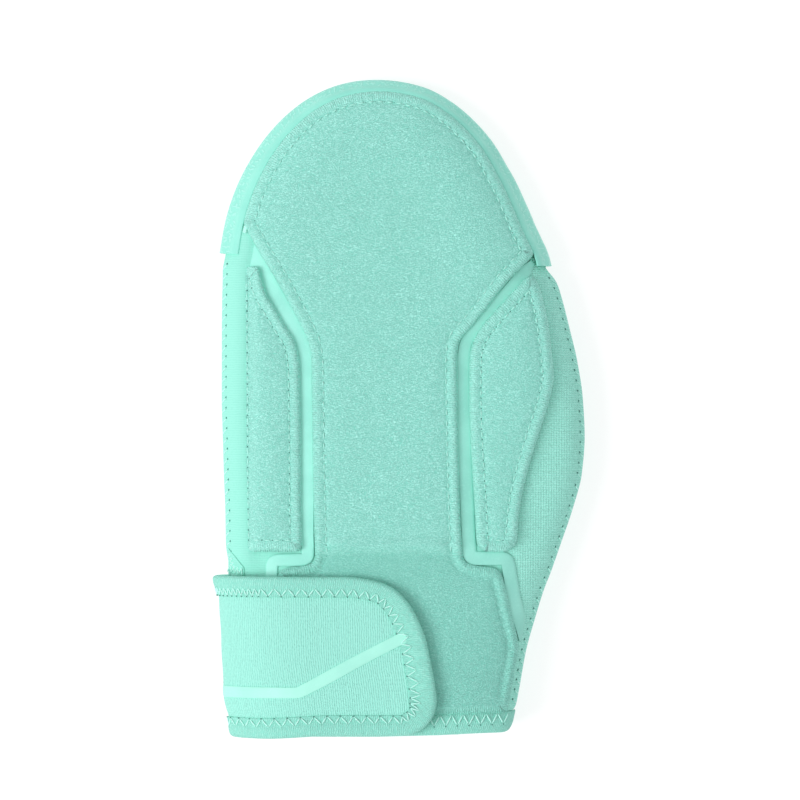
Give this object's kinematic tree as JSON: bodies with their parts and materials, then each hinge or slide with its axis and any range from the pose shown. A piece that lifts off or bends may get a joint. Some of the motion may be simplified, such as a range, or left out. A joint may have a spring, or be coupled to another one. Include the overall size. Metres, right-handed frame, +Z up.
{
  "type": "sliding mitt",
  "caption": "Padded sliding mitt worn by a base runner: hollow two-shell body, foam pads, moulded fingertip guard, bound wrist mouth and a wrap-round wrist strap.",
  "frame": {"origin": "middle of the footprint, on the surface that the mitt lies on, palm down", "axes": "+Y from the wrist hem towards the fingertips, +Z up out of the back of the hand, +X across it"},
  "size_m": [0.1504, 0.2662, 0.0382],
  "materials": {
    "mesh_knit": "fine open-mesh polyester knit over thin foam",
    "loop_fabric": "brushed loop fabric over foam, edges rolled and lockstitched",
    "smooth_film": "smooth moulded film, satin",
    "moulded_rubber": "moulded rubber with a smooth lip and a fine dash relief",
    "bound_tape": "knitted stretch binding with zigzag stitching",
    "strap_knit": "fine vertical-rib elastic knit",
    "gloss_stripe": "glossy printed film stripe",
    "hook_tape": "woven hook tape"
  },
  "bodies": {
    "root": {"front_shell": "mesh_knit", "palm_shell": "mesh_knit", "centre_pad": "loop_fabric", "side_pad_left": "loop_fabric", "side_pad_right": "loop_fabric", "channel_left": "smooth_film", "channel_right": "smooth_film", "tip_guard": "moulded_rubber", "wrist_hem": "bound_tape", "strap": "strap_knit", "strap_binding": "bound_tape", "strap_stripe": "gloss_stripe", "hook_patch": "hook_tape"}
  },
  "joints": []
}
